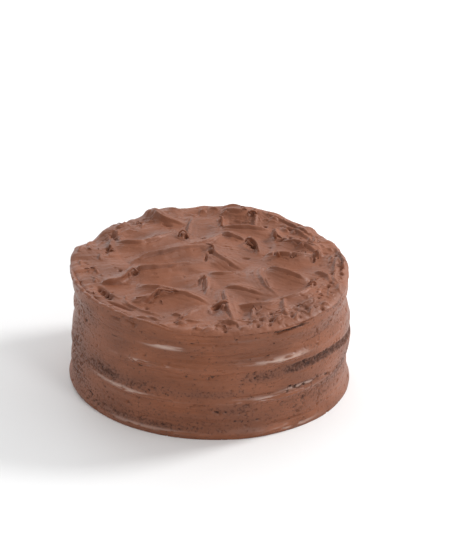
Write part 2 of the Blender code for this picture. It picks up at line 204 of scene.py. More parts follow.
CURLS = [Curl(*row) for row in (
    (-21, 47, 5.0, 3, 0.8, -0.8),
    (-55, -12, 6.0, 4, 0.8, -1.2),
    (0, 27, 6.0, 4, -0.6, -1.0),
    (-5, -19, 3.8, 3, -0.5, -0.8),
    (-34, -44, 5.4, 4, 0.8, -1.2),
    (-26, -46, 5.0, 3, 0.8, -1.2),
    (8, -59, 6.0, 4, -1.0, -0.8),
    (29, 42, 5.6, 4, -0.8, -1.2),
    (6, 75, 4.0, 3, 0.5, -0.5),
    (46, 53, 5.0, 3, 0, -0.8),
    (46, 17, 5.6, 3.5, 0, -0.8),
    (58, 16, 5.0, 3, 0, -0.8),
    (64, 35, 5.2, 4, 0.5, -1.0),
    (76, 23, 5.6, 4, -0.8, -0.8),
    (70, -23, 4.8, 3, 0, -0.8),
)]
SCOOPS = [Scoop(*row) for row in (
    (52, -26, 15, 12, 0, 3.6),
    (28, -46, 18, 7, 0, 2.4),
    (-32, 0, 26, 6, 18, 2.6),
    (-30, -28, 22, 7, -12, 3.0),
    (-55, 46, 13, 8, 0, 2.6),
    (-42, 17, 22, 6, 24, 2.4),
    (-5, 56, 8, 14, 0, 2.4),
    (60, 30, 10, 5, -20, 1.4),
    (38, 40, 8, 12, 0, 2.4),
    (18, 72, 9, 8, 0, 2.6),
    (11, -2, 12, 5, 0, 2.4),
    (3, -66, 6, 5, 30, 2.4),
    (21, -69, 5, 9, 0, 2.2),
    (-33, -62, 18, 7, 0, 2.2),
    (-8, 84, 14, 5, 0, 1.6),
    (60, 4, 12, 5, -10, 1.8),
)]
# Dark hollows with steep walls, under and beside the curls
HOLLOWS = [Scoop(*row) for row in (
    # Middle
    (-14, -11, 8, 3.6, 4, 0.9),
    # Left back
    (-19, 47, 1.8, 3.5, 15, 4.0),
    (-70, 45, 2.2, 9, 10, 3.2),
    (-73, 20, 3.0, 4, 0, 2.4),
    (-33, 64, 4, 1.5, -30, 2.2),
    (-40, 44, 4, 1.2, 30, 1.4),
    (-0.5, 19, 1.6, 2.4, 0, 2.4),
    (-4, 11, 1.0, 5, 0, 1.8),
    # Left front
    (-54, -13, 3.2, 4, 20, 3.4),
    (-66, -31, 8, 1.2, 6, 1.6),
    (-8, -22, 1.4, 6, -8, 1.8),
    (-31, -42, 3.6, 1.6, -8, 3.6),
    (-26, -43, 1.6, 2.0, 40, 3.4),
    (-38, -46, 1.6, 3.5, -30, 2.8),
    (-46, -55, 7, 1.1, 2, 1.8),
    (-73, -44.5, 10, 2.8, -60, 2.2),
    (-61.5, -63, 9.5, 1.5, -35, 2.4),
    # Right front
    (5.5, -59, 5.5, 2.6, 25, 5.0),
    (71.6, -22, 1.3, 2.2, 0, 2.6),
    (53, 0, 8, 0.9, 0, 1.2),
    (24, 15, 3, 1.1, 0, 2.0),
    # Right back
    (27.4, 38, 1.8, 2.0, 0, 4.0),
    (30.2, 33, 1.8, 3.0, 20, 4.0),
    (15, 46, 8, 0.8, -25, 1.5),
    (68.5, 37, 5.5, 1.3, -38, 1.8),
    (45, 20, 1.4, 3.4, 0, 3.2),
    (57, 15, 1.4, 2, 0, 2.4),
    (72, 15, 1.4, 4, 0, 2.4),
    (29.7, 82, 3.5, 3, 0, 2.0),
    (33, 63, 3.0, 1.4, -20, 3.0),
    (38, 65, 1.6, 1.6, 0, 3.0),
    (56, 47, 1.4, 2.5, 0, 2.8),
    (49, 45, 2.6, 1.1, 0, 2.6),
)]
# Small round pits near the rim
PITS = (
    (65, -60), (74, -43), (76, -57), (70, -16), (34, -79), (41, -78), (40, -84), (32, -87),
    (10, -94), (55, -72), (50, -71), (41, -68), (83, -21), (81, -26), (92, 1), (91, -8),
    (-77, -38), (-74, -42), (-71, -46), (-69, -51), (-75, -46), (-72, -50), (88, 20), (62, 70),
    (-64, -9), (-44, -62),
)
RIBBONS = [Ribbon(*row) for row in (
    # Left back
    (0.7, ((-24, 45, 1), (-23.5, 45, 4), (-21, 45.5, 6), (-18.5, 44, 5), (-16.5, 41, 2))),
    (1.3, ((-21.5, 47, 0), (-21.5, 46.5, 3))),
    (0.7, ((-4, 26, 5), (-0.5, 24.5, 5.5), (1.5, 22.5, 5), (1.5, 20.3, 3))),
    # Left front
    (0.9, ((-74.5, -30, 1.5), (-66, -29, 2.2), (-59.5, -25, 4.2), (-56.5, -21, 6.3),
           (-54, -18.5, 7), (-51, -19.5, 4))),
    (0.8, ((-51, -53, 1.5), (-41, -52, 2.5), (-38.5, -49.5, 4.5), (-36, -47.5, 6),
           (-30, -47, 5), (-27, -47, 4.5))),
    (0.8, ((-27, -47, 4.5), (-24.5, -47, 5.5), (-21.5, -46.5, 4), (-17, -48.5, 3))),
    (0.6, ((-20.5, -80.5, 1.5), (-18.5, -76.5, 2))),
    (0.7, ((-9.5, -94, 1.2), (-8, -90, 2))),
    # Right front
    (1.0, ((1.5, -64.5, 2), (4, -64.5, 4), (7, -64, 6), (10, -63, 6.5), (12, -63, 5))),
    (0.6, ((69.3, -27.5, 2), (70.3, -26, 4.3), (73, -26.5, 3.8), (72.5, -28, 2))),
    (0.6, ((31.5, -71.5, 1.5), (35, -66, 2.5))),
    (0.6, ((44.5, -68.5, 2), (48, -66, 2.5))),
    (0.7, ((10.5, -82.5, 1.5), (12.7, -79, 2.2))),
    # Right back
    (0.9, ((24, 38, 2), (25.5, 37, 5), (28.5, 35, 6.2), (32, 30, 5), (33.7, 23.5, 1))),
    (0.7, ((25, 36, 4), (27, 32, 3.5), (29.5, 29.5, 2.5))),
    (0.8, ((5, 71, 5), (7, 69, 5.8), (7.2, 67, 4), (6.7, 64, 1))),
    (0.8, ((26, 82.5, 3), (28.5, 82.7, 5), (31, 82, 5), (32.6, 82, 3))),
    (1.4, ((45.5, 47.5, 0.5), (45.7, 49, 3.5), (45.6, 50, 5))),
    (1.3, ((46.5, 15.5, 0), (47.4, 15.3, 3), (46.8, 15, 6))),
    (0.8, ((60, 14.5, 1), (60.5, 15, 4.5))),
    (0.8, ((57, 13, 1), (56.5, 13.5, 3.5))),
    (0.8, ((72, 18.5, 4.5), (75, 19.5, 5.5), (76.2, 15, 5), (75.3, 13, 2))),
)]
# Where torn scraps of icing lie, and how many
SCRAPS = (
    (-84, 20, 3), (-78, 42, 3), (-60, 70, 2), (-70, 42, 4), (-73, 20, 4), (33, 66, 3),
    (48, 50, 4), (62, 22, 4), (70, -18, 3), (62, -56, 3), (78, -38, 2), (44, -76, 3),
    (-72, -42, 4), (10, -88, 3), (72, 48, 4), (-34, -50, 2), (-52, 66, 3), (22, 84, 3),
    (86, 8, 3), (-86, -6, 3), (-6, 44, 1), (30, -62, 3), (-20, -84, 2),
)
SCRAP_SEED = 17
SCRAP_SPREAD = 6.0
SCRAP_SINK = 0.3
SCRAP_REACHES = (1.2, 3.2)
SCRAP_ARCHES = (0.35, 1.1)
SCRAP_HALVES = (0.25, 0.5)

BANKS = [Bank(*row) for row in (
    (70, 14, 3.2),
    (117.5, 2.8, 3.2),
    (111, 5, 2.0),
    (91, 7, 1.0),
    (152, 8, -2.4),
    (130, 8, -1.4),
    (171, 7, 2.6),
    (42, 3, 1.6),
    (24, 6, 1.6),
    (8, 7, 1.8),
    (184, 5, 1.2),
    (140, 28, -1.2),
    (151, 5, -2.0),
    (137, 2, 0.9),
    (128, 1.6, 0.7),
)]
# The banks rise between these two radii
BANK_INSIDE = 74.0
BANK_FULL = 94.0

SWELLS = [Swell(*row) for row in (
    # Right
    (64, -3.0, 7, 90, 55),
    (75, -1.4, 9, 90, 60),
    (36.5, 2.1, 6, 95, 50),
    (50, 1.0, 4.5, 92, 50),
    (20, -1.3, 7, 95, 60),
    (0, 2.0, 6, 92, 60),
    (84, -1.6, 6, 82, 25),
    # Left
    (66, -2.5, 9, -90, 50),
    (51, -2.1, 7, -92, 50),
    (27, -0.6, 4, -90, 50),
    (4, 1.0, 6, -90, 50),
    (83, 1.4, 4, -86, 25),
    # Front
    (60, -1.2, 2.6, 8, 45),
    (47, -0.6, 2.2, -5, 34),
    (53, 1.2, 2.5, -26, 14),
    (56, 1.4, 2.5, 31, 13),
    (53, 1.3, 3, 3, 24),
    (65.5, 0.7, 2.2, 12, 22),
    (73, 0.5, 1.8, 20, 30),
    (27, 0.9, 2.0, -26, 16),
    (27, 0.9, 2.0, 29, 18),
    (31.5, -0.8, 2.5, 30, 24),
    (34, -0.8, 5, -45, 26),
    (68, 0.8, 3.0, -18, 12),
    (4, 0.9, 2.5, -10, 60),
    (8, -0.7, 2.0, -25, 40),
    # Back
    (62, 1.4, 8, 170, 50),
    (45, -1.2, 6, -150, 40),
    (27, 1.0, 4, 160, 50),
)]
PATCHES = [Patch(*row) for row in (
    (-49, 10, 36, 5.5, 0.34),
    (-30, 24, 34.0, 5.0, 0.24),
    (35, 8, 77.3, 0.9, 0.9),
    (5, 16, 34.5, 3.0, 0.22),
    (22, 10, 46, 4.5, 0.3),
    (-30, 34, 7.0, 3.0, 0.28),
    (-10, 60, 14, 7, 0.16),
    (12, 10, 23, 3.5, 0.24),
    (42, 12, 32, 2.2, 0.36),
    (50, 20, 23, 8, 0.2),
    (-72, 14, 30, 26, 0.3),
    (-66, 16, 66, 14, 0.16),
    (62, 10, 80, 4, 0.24),
    (75, 14, 28, 8, 0.28),
    (60, 16, 66, 9, 0.14),
    (150, 40, 46, 5, 0.5),
    (-130, 34, 34, 5, 0.4),
    (180, 60, 12, 7, 0.22),
)]
# Smooth, glossy places on the coat, which catch the light and carry a painted highlight in their
# colour
GLOSS_AND_PAINTED_HIGHLIGHTS = [Patch(*row) for row in (
    (-26, 13, 52.5, 1.5, 1.0),
    (31, 12, 56.5, 1.7, 1.0),
    (-18, 9, 67.5, 1.7, 1.0),
    (-27, 15, 28, 1.3, 0.8),
    (28, 18, 28, 1.8, 1.0),
    (42, 12, 31, 2.0, 0.8),
    (-42, 12, 29, 1.6, 0.6),
    (35, 12, 3.5, 2.2, 0.8),
    (-25, 20, 4.5, 1.4, 0.5),
    (-78, 10, 72, 9, 0.4),
)]
# Thin lines that the spatula cut into the coat
CREASES = [Crease(*row) for row in (
    (27, 77.0, 43, 77.4, 3.6, 0.8),
    (-11, 72.6, 15, 71.6, 0.8, 0.9),
    (-9, 60.8, 19, 64.2, 0.8, 0.9),
    (-35, 50.8, -4, 47.4, 0.7, 1.0),
    (-6, 47.4, 21, 50.0, 0.8, 1.0),
    (-14, 65.6, 8, 66.8, 0.6, 0.9),
    (22, 51.4, 40, 52.6, 0.6, 0.8),
    (-44, 79.4, -38, 79.0, 1.2, 0.6),
    (-36, 80.2, -31, 79.6, 1.2, 0.6),
    (40, 62.5, 62, 64.0, 0.7, 0.9),
    (-60, 70.0, -36, 68.5, 0.7, 0.9),
    (6, 31.0, 30, 31.6, 0.7, 0.9),
    (-20, 22.0, 12, 20.5, 0.6, 0.9),
    (20, 8.0, 52, 7.4, 0.6, 0.9),
)]
# How thin the coat is away from the patches
THIN_EVERYWHERE = 0.04

# The bare strip of sponge at the right: its ends, its height, where and how steeply it falls,
# half its own height and how bare it is
STRIP_START = 30.0
STRIP_END = 96.0
STRIP_HEIGHT = 47.0
STRIP_BEND = 60.0
STRIP_FALL = 0.2
STRIP_HALF = 3.4
STRIP_BARE = 0.72

UPPER_SMEARS = (Smear(-40, -13, 0.5), Smear(20, 42, 0.6))
LOWER_SMEARS = (Smear(-42, -10, 0.4), Smear(14, 46, 0.5))

# Colours
ICING_DARK = (0.17, 0.055, 0.024, 1)
ICING_LIGHT = (0.24, 0.08, 0.036, 1)
THIN_ICING = (0.13, 0.05, 0.03, 1)
# A pale colour painted on the coat's glossy places as a highlight
PAINTED_HIGHLIGHT_ICING = (0.52, 0.37, 0.31, 1)
CRUMB_DARK = (0.032, 0.012, 0.008, 1)
CRUMB_LIGHT = (0.15, 0.068, 0.045, 1)
FLOOR_DARK = (0.86, 0.86, 0.86, 1)
FLOOR_LIGHT = (0.89, 0.89, 0.89, 1)

# Light from all round, at the front and at the back
FRONT_GLOW = 0.33
BACK_GLOW = 1.12
LAMPS = (
    Lamp("key", (1.0, 0.45, 0.85), 0.35, 12.8),
    Lamp("front_right", (1.0, -1.35, 0.8), 0.6, 10),
    Lamp("left", (-1.6, -0.5, 0.3), 0.9, 4),
    Lamp("back_left", (-0.6, 1.6, 0.7), 1.2, 6, (0.92, 0.96, 1)),
)
# Half the floor's side
FLOOR_HALF = 4.0

# Camera; pixels are the photograph's
PHOTO_WIDTH = 449
PHOTO_HEIGHT = 555
BASE_PIXEL = (209.0, 372.9)
PIXELS_PER_MM = 1.393
CAMERA_DISTANCE = 1.8
CAMERA_ELEVATION = 27.6
CAMERA_ROLL = 1.25
SENSOR = 36.0


def ease(value, low, high):
    """0 below low, 1 above high, and a smooth step between."""
    t = np.clip((value - low) / (high - low), 0, 1)
    return t * t * (3 - 2 * t)


def apart(degrees, other):
    """How far an angle lies from another one, -180 to 180."""
    return (degrees - other + 180) % 360 - 180


def lattice(u, v, seed, wrap=NOISE_TABLE):
    """A smooth random value, -1 to 1, over cells one unit wide that repeat after wrap along u."""
    table = np.random.default_rng(seed).uniform(-1, 1, (NOISE_TABLE, wrap))
    i = np.floor(u).astype(int)
    j = np.floor(v).astype(int)
    s = ease(u - i, 0, 1)
    t = ease(v - j, 0, 1)

    def along_row(row):
        row = row % NOISE_TABLE
        return table[row, i % wrap] * (1 - s) + table[row, (i + 1) % wrap] * s

    return along_row(j) * (1 - t) + along_row(j + 1) * t


def wobble(x, y, size, seed):
    """Smooth noise with bumps about this size, without the lattice's own directions."""
    turned_x = (0.8 * x - 0.6 * y) / size
    turned_y = (0.6 * x + 0.8 * y) / size
    finer = lattice(x / size * 1.3, y / size * 1.3, seed + 500)
    return 0.65 * lattice(turned_x, turned_y, seed) + 0.5 * finer


def side_noise(degrees, z, length, height, seed):
    """Noise on the side, in cells this long round it and this high."""
    cells = round(2 * math.pi * COAT_RADIUS / length)
    u = (degrees / 360) * cells
    return lattice(u, z / height, seed, cells)


def bend_through(start, middle, end, steps):
    """Points of the quadratic bend that passes through the middle place halfway along."""
    start, middle, end = (np.array(place, float) for place in (start, middle, end))
    control = 2 * middle - (start + end) / 2
    t = np.linspace(0, 1, steps + 1)[:, None]
    return (1 - t) ** 2 * start + 2 * t * (1 - t) * control + t**2 * end


def nearest_on_line(px, py, line):
    """The squared distance to a line, the share along it of its nearest place, whether px and py
    are on the right of the travel, and which way right is."""
    nearest = np.full(px.shape, np.inf)
    along = np.zeros(px.shape)
    on_right = np.zeros(px.shape, bool)
    right_x = np.zeros(px.shape)
    right_y = np.zeros(px.shape)
    for i, (a, b) in enumerate(zip(line, line[1:])):
        step = b - a
        share = ((px - a[0]) * step[0] + (py - a[1]) * step[1]) / (step @ step)
        share = np.clip(share, 0, 1)
        dx = px - a[0] - share * step[0]
        dy = py - a[1] - share * step[1]
        squared = dx**2 + dy**2
        closer = squared < nearest
        nearest = np.where(closer, squared, nearest)
        along = np.where(closer, (i + share) / SWEEP_STEPS, along)
        on_right = np.where(closer, step[0] * dy - step[1] * dx < 0, on_right)
        right_x = np.where(closer, step[1] / math.hypot(*step), right_x)
        right_y = np.where(closer, -step[0] / math.hypot(*step), right_y)
    return nearest, along, on_right, right_x, right_y


def ridge_rise(x, y, ridge):
    """How far one ridge lifts the surface, and the shift of its leaning crest along x and y."""
    rise = np.zeros(x.shape)
    shift_x = np.zeros(x.shape)
    shift_y = np.zeros(x.shape)
    line = bend_through(ridge.start, ridge.middle, ridge.end, SWEEP_STEPS)
    reach = max(ridge.steep, ridge.gentle)
    low = line.min(axis=0) - reach
    high = line.max(axis=0) + reach
    near = (x > low[0]) & (x < high[0]) & (y > low[1]) & (y < high[1])
    px, py = x[near], y[near]
    nearest, along, on_right, right_x, right_y = nearest_on_line(px, py, line)
    away = np.sqrt(nearest + CREST_ROUND**2) - CREST_ROUND
    reach = np.where(on_right, ridge.steep, ridge.gentle)
    taper = 1 - np.abs(2 * along - 1) ** TAPER_POWER
    power = np.where(on_right, STEEP_POWER, GENTLE_POWER)
    part = taper * np.clip(1 - away / reach, 0, 1) ** power
    signed = np.where(on_right, away, -away)
    uneven = 0.7 + 0.6 * lattice(px / 5, py / 5, 41)
    lip = LIP_HEIGHT * uneven * taper * np.exp(-(((signed + LIP_BACK) / LIP_WIDTH) ** 2))
    groove = GROOVE_DEPTH * uneven * taper * np.exp(-(((signed - GROOVE_OUT) / GROOVE_WIDTH) ** 2))
    lines = STREAK * part * lattice(signed, along * 2.5, 42)
    rise[near] = ridge.height * part + lip - groove + lines
    shift_x[near] = ridge.lean * right_x * part**2
    shift_y[near] = ridge.lean * right_y * part**2
    return rise, shift_x, shift_y


def curl_rise(x, y, curl):
    """How far one curl lifts the surface, and the shift of its leaning tip along x and y."""
    away = np.hypot(x - curl.x, y - curl.y) / curl.reach
    part = np.clip(1 - away, 0, 1) ** CURL_POWER
    return curl.height * part, curl.lean_x * part**2, curl.lean_y * part**2


def scoop_depth(x, y, scoop, sharpness=1):
    """How deep a scoop is here; a sharpness of 2 gives it steep walls and a flat bottom."""
    turn = math.radians(scoop.turn)
    dx = x - scoop.x
    dy = y - scoop.y
    u = (dx * math.cos(turn) + dy * math.sin(turn)) / scoop.half_x
    v = (dy * math.cos(turn) - dx * math.sin(turn)) / scoop.half_y
    return scoop.depth * np.exp(-((u**2 + v**2) ** sharpness))


def bank_rise(x, y):
    """How far the banks lift or lower the surface near the rim."""
    angle = np.degrees(np.arctan2(y, x)) % 360
    inside = ease(np.hypot(x, y), BANK_INSIDE, BANK_FULL)
    rise = np.zeros(x.shape)
    for bank in BANKS:
        around = apart(angle, bank.angle) / bank.half_angle
        rise += bank.height * inside * np.exp(-(around**4))
    return rise


def rim_flakes():
    """Short broken ridges that lie along the rim, where the spatula lifted off."""
    draw = np.random.default_rng(FLAKE_SEED)
    flakes = []
    for i in range(FLAKE_COUNT):
        angle = 2 * math.pi * (i + draw.uniform(-0.5, 0.5)) / FLAKE_COUNT
        radius = draw.uniform(*FLAKE_RADII)
        half = draw.uniform(*FLAKE_HALVES)
        turn = angle + math.pi / 2 + draw.uniform(-0.6, 0.6)
        middle = np.array([math.cos(angle), math.sin(angle)]) * radius
        reach = np.array([math.cos(turn), math.sin(turn)]) * half
        bow = np.array([-reach[1], reach[0]]) * draw.uniform(-0.3, 0.3)
        calm = left_cover(apart(math.degrees(angle), -90))
        height = draw.uniform(*FLAKE_HEIGHTS) * (1 - 0.7 * calm)
        steep = draw.uniform(*FLAKE_STEEPS)
        line = (middle - reach, middle + bow, middle + reach)
        flakes.append(Ridge(*line, height, steep, FLAKE_GENTLE, FLAKE_LEAN))
    return flakes


def crumble(x, y):
    """Small broken scraps and pits near the rim, most of them at the front right."""
    radius = np.hypot(x, y)
    degrees = np.degrees(np.arctan2(x, -y))
    near_rim = ease(radius, 72, 86) * (1 - 0.75 * ease(radius, 91, 96))
    rough = 0.18 + 0.7 * ease(degrees, -12, 18) * (1 - ease(degrees, 80, 110))
    rough += 0.35 * ease(np.abs(degrees), 85, 110)
    clusters = ease(wobble(x, y, 14, 73), -0.25, 0.25)
    plates = 0.7 * ease(wobble(x, y, 11, 74), -0.04, 0.04)
    plates += 0.4 * ease(wobble(x, y, 6, 75), 0.02, 0.1)
    edges = np.clip(1 - np.abs(wobble(x, y, 6, 71)) / 0.13, 0, 1)
    pits = np.clip(wobble(x, y, 2.0, 72) - 0.62, 0, 1) ** 0.7
    return near_rim * rough * (plates + clusters * 1.1 * edges - 3.0 * pits)


def streaks(x, y):
    """Fine lines and small tears along the spatula's travel, which turns from left to right."""
    to_right = ease(x, -14, 14)
    relief = np.zeros(x.shape)
    for turn, weight in ((18, 1 - to_right), (-16, to_right)):
        turn = math.radians(turn)
        along = x * math.cos(turn) + y * math.sin(turn)
        across = y * math.cos(turn) - x * math.sin(turn)
        lines = 0.15 * lattice(along / 22, across / 2.4, 43)
        lines += 0.08 * lattice(along / 9, across / 1.3, 44)
        tears = np.clip(lattice(along / 6, across / 1.3, 45) - 0.78, 0, 1) ** 0.7
        relief += weight * (lines - 3.0 * tears)
    return relief


def floor_height(x, y):
    """The height of the top's mean floor."""
    return TOP_FLOOR + TOP_RISE_TO_BACK * y - TOP_RISE_TO_LEFT * x


def top_surface(x, y):
    """Places of the top icing's surface: x and y shift where crests lean."""
    wx = x + wobble(x, y, 13, 21) + 0.5 * wobble(x, y, 5, 22)
    wy = y + wobble(x, y, 13, 23) + 0.5 * wobble(x, y, 5, 24)
    relief = np.zeros(x.shape)
    shift_x = np.zeros(x.shape)
    shift_y = np.zeros(x.shape)
    parts = [ridge_rise(wx, wy, ridge) for ridge in (*RIDGES, *rim_flakes())]
    parts += [curl_rise(wx, wy, curl) for curl in CURLS]
    for rise, move_x, move_y in parts:
        relief += np.clip(rise, 0, None) ** UNION_POWER
        shift_x += move_x
        shift_y += move_y
    relief = relief ** (1 / UNION_POWER)
    hollow = sum(scoop_depth(wx, wy, scoop) for scoop in SCOOPS)
    hollow += sum(scoop_depth(x, y, scoop, 2) for scoop in HOLLOWS)
    pits = [Scoop(*pit, PIT_RADIUS, PIT_RADIUS, 0, PIT_DEPTH) for pit in PITS]
    hollow += sum(scoop_depth(x, y, pit) for pit in pits)
    z = floor_height(x, y) + relief - hollow + bank_rise(x, y) + crumble(x, y) + streaks(wx, wy)
    z += 0.35 * wobble(x, y, 16, 31) + 0.08 * wobble(x, y, 2.4, 32)
    return x + shift_x, y + shift_y, z


def rim_place(degrees):
    """x and y on the rim."""
    turn = np.radians(degrees)
    return COAT_RADIUS * np.sin(turn), -COAT_RADIUS * np.cos(turn)


def rim_height(degrees):
    """The height of the top's mean floor at the rim."""
    return floor_height(*rim_place(degrees))


def left_cover(degrees):
    """1 along the left, where the side coat ends in a lip that stands over the top icing."""
    return ease(degrees, -98, -78) * (1 - ease(degrees, -24, -10))


def coat_radius(degrees, z):
    """The smooth outer radius of the side coat at an angle from the front and a height."""
    sway = np.sin(2 * np.radians(degrees))
    radius = COAT_RADIUS + COAT_WAVE * np.sin(2 * math.pi * z / COAT_WAVE_LENGTH + sway)
    for swell in SWELLS:
        around = apart(degrees, swell.angle) / swell.half_angle
        up = (z - swell.z) / swell.half_z
        radius = radius + swell.depth * np.exp(-(up**2) - around**2)
    return radius


def strip_cover(degrees, z):
    """1 in the bare strip of sponge that runs round the right and falls towards the back."""
    middle = STRIP_HEIGHT - STRIP_FALL * np.clip(degrees - STRIP_BEND, 0, None)
    across = 1 - ease(np.abs(z - middle), 0.55 * STRIP_HALF, 1.25 * STRIP_HALF)
    begun = ease(degrees, STRIP_START - 4, STRIP_START + 8)
    return STRIP_BARE * across * begun * (1 - ease(degrees, STRIP_END - 8, STRIP_END))


def patch_cover(degrees, z, patches, base):
    """A base value, raised by each patch near its middle."""
    total = base + 0 * z
    for patch in patches:
        around = apart(degrees, patch.angle) / patch.half_angle
        up = (z - patch.z) / patch.half_z
        total = total + patch.strength * np.exp(-((around**2 + up**2) ** 1.5))
    return total


def thinness(degrees, z):
    """0 where the coat is thick, up to 1 where the sponge is bare."""
    cover = patch_cover(degrees, z, PATCHES, THIN_EVERYWHERE)
    return np.clip(np.maximum(cover, strip_cover(degrees, z)), 0, 1)


def gloss_and_painted_highlight(degrees, z):
    """Up to 1 where the coat is smooth and glossy and has a painted highlight, in broken level
    streaks.
    """
    cover = patch_cover(degrees, z, GLOSS_AND_PAINTED_HIGHLIGHTS, 0)
    broken = 0.6 * side_noise(degrees, z, 22, 1.4, 54) + 0.5 * side_noise(degrees, z, 7, 0.9, 55)
    return np.clip(cover, 0, 1) * ease(broken, -0.15, 0.25)


def crumbs(degrees, z):
    """0 or 1 with soft edges: where a crumb or a pit of the sponge shows through the coat."""
    coarse = side_noise(degrees, z, 4.5, 1.6, 61)
    fine = side_noise(degrees, z, 2.0, 1.3, 62)
    level = 0.35 * coarse + 0.75 * fine + 1.15 * thinness(degrees, z)
    return ease(level, 0.66, 0.92)


def crease_depth(degrees, z):
    """How far the thin lines cut in; icing is pushed up just above each."""
    cut = 0 * z
    for crease in CREASES:
        share = (degrees - crease.from_angle) / (crease.to_angle - crease.from_angle)
        middle = crease.from_z + share * (crease.to_z - crease.from_z)
        middle = middle + 0.5 * side_noise(degrees, 0 * z, 9, 1, 57)
        within = ease(share, 0, 0.2) * (1 - ease(share, 0.8, 1))
        groove = np.exp(-(((z - middle) / crease.half) ** 2))
        pushed = 0.35 * np.exp(-(((z - middle - 1.6) / 1.2) ** 2))
        cut = cut + crease.depth * within * (groove - pushed)
    return cut


def coat_relief(degrees, z):
    """The coat's radius with the fine lines of the spatula and with its pits."""
    lines = 0.28 * side_noise(degrees, z, 60, 2.6, 51) + 0.18 * side_noise(degrees, z, 26, 1.4, 52)
    lumps = 0.3 * side_noise(degrees, z, 30, 12, 53)
    scratches = np.clip(side_noise(degrees, z, 24, 1.7, 56) - 0.62, 0, 1)
    radius = coat_radius(degrees, z) + lines + lumps - 1.2 * scratches
    return radius - crease_depth(degrees, z) - 1.0 * crumbs(degrees, z)


def add_object(name, data):
    """A new object in the scene."""
    obj = bpy.data.objects.new(name, data)
    bpy.context.scene.collection.objects.link(obj)
    return obj


def make_object(name, points, faces, material):
    """A smooth mesh object from points in millimetres."""
    mesh = bpy.data.meshes.new(name)
    mesh.from_pydata((np.asarray(points) * MM).tolist(), [], faces)
    mesh.shade_smooth()
    mesh.materials.append(material)
    return add_object(name, mesh)


def add_values(obj, name, values):
    """A value for each point, which the material reads by its name."""
    attribute = obj.data.attributes.new(name, "FLOAT", "POINT")
    attribute.data.foreach_set("value", np.asarray(values, dtype=np.float32))


def on_side(radius, degrees, z):
    """Places at a radius, an angle from the front and a height."""
    turn = np.radians(degrees)
    return np.stack([radius * np.sin(turn), -radius * np.cos(turn), z], axis=-1)


def ring_start(ring):
    """The number of the first point in a ring of a disc."""
    return 0 if ring == 0 else 1 + 3 * ring * (ring - 1)


def torn_scraps():
    """Small arched strips that lie on the top's surface."""
    draw = np.random.default_rng(SCRAP_SEED)
    places = []
    arches = []
    halves = []
    for x, y, count in SCRAPS:
        for _ in range(count):
            middle = np.array([x, y]) + draw.normal(0, SCRAP_SPREAD / 2, 2)
            turn = draw.uniform(0, math.pi)
            reach = np.array([math.cos(turn), math.sin(turn)]) * draw.uniform(*SCRAP_REACHES)
            bow = np.array([-reach[1], reach[0]]) * draw.uniform(-0.5, 0.5)
            places.append([middle - reach, middle + bow, middle + reach])
            arches.append(draw.uniform(*SCRAP_ARCHES))
            halves.append(draw.uniform(*SCRAP_HALVES))
    places = np.array(places)
    x, y, z = top_surface(places[..., 0], places[..., 1])
    height = z - floor_height(x, y) - SCRAP_SINK
    height[:, 1] += SCRAP_SINK + np.array(arches)
    lines = np.stack([x, y, height], axis=2)
    return [Ribbon(half, tuple(line)) for half, line in zip(halves, lines)]


def disc_faces(rings):
    """Triangles of a disc whose ring k holds 6k points round one centre point."""
    faces = []
    for ring in range(1, rings + 1):
        outer_count = 6 * ring
        inner_count = max(1, outer_count - 6)
        for sector in range(6):
            for j in range(ring):
                first = ring_start(ring) + sector * ring + j
                second = ring_start(ring) + (sector * ring + j + 1) % outer_count
                inner = ring_start(ring - 1) + (sector * (ring - 1) + j) % inner_count
                faces.append((inner, first, second))
                if j < ring - 1:
                    inner_next = ring_start(ring - 1) + (sector * (ring - 1) + j + 1) % inner_count
                    faces.append((inner, second, inner_next))
    return faces


def disc_places(rings):
    """Each point's share of the radius and its angle in radians from +X."""
    share = [0.0]
    angle = [0.0]
    for ring in range(1, rings + 1):
        share += [ring / rings] * (6 * ring)
        angle += [2 * math.pi * i / (6 * ring) for i in range(6 * ring)]
    return np.array(share), np.array(angle)


def tube_faces(rows, columns, closed=True):
    """Quads of a grid that closes round its columns and, if closed, also round its rows."""
    faces = []
    for row in range(rows if closed else rows - 1):
        low = row * columns
        high = (row + 1) % rows * columns
        for i in range(columns):
            j = (i + 1) % columns
            faces.append((low + i, low + j, high + j, high + i))
    return faces


def capped_tube_faces(rows, columns):
    """Quads of an open tube, and one face over each end."""
    faces = tube_faces(rows, columns, closed=False)
    faces.append(tuple(reversed(range(columns))))
    faces.append(tuple(range((rows - 1) * columns, rows * columns)))
    return faces


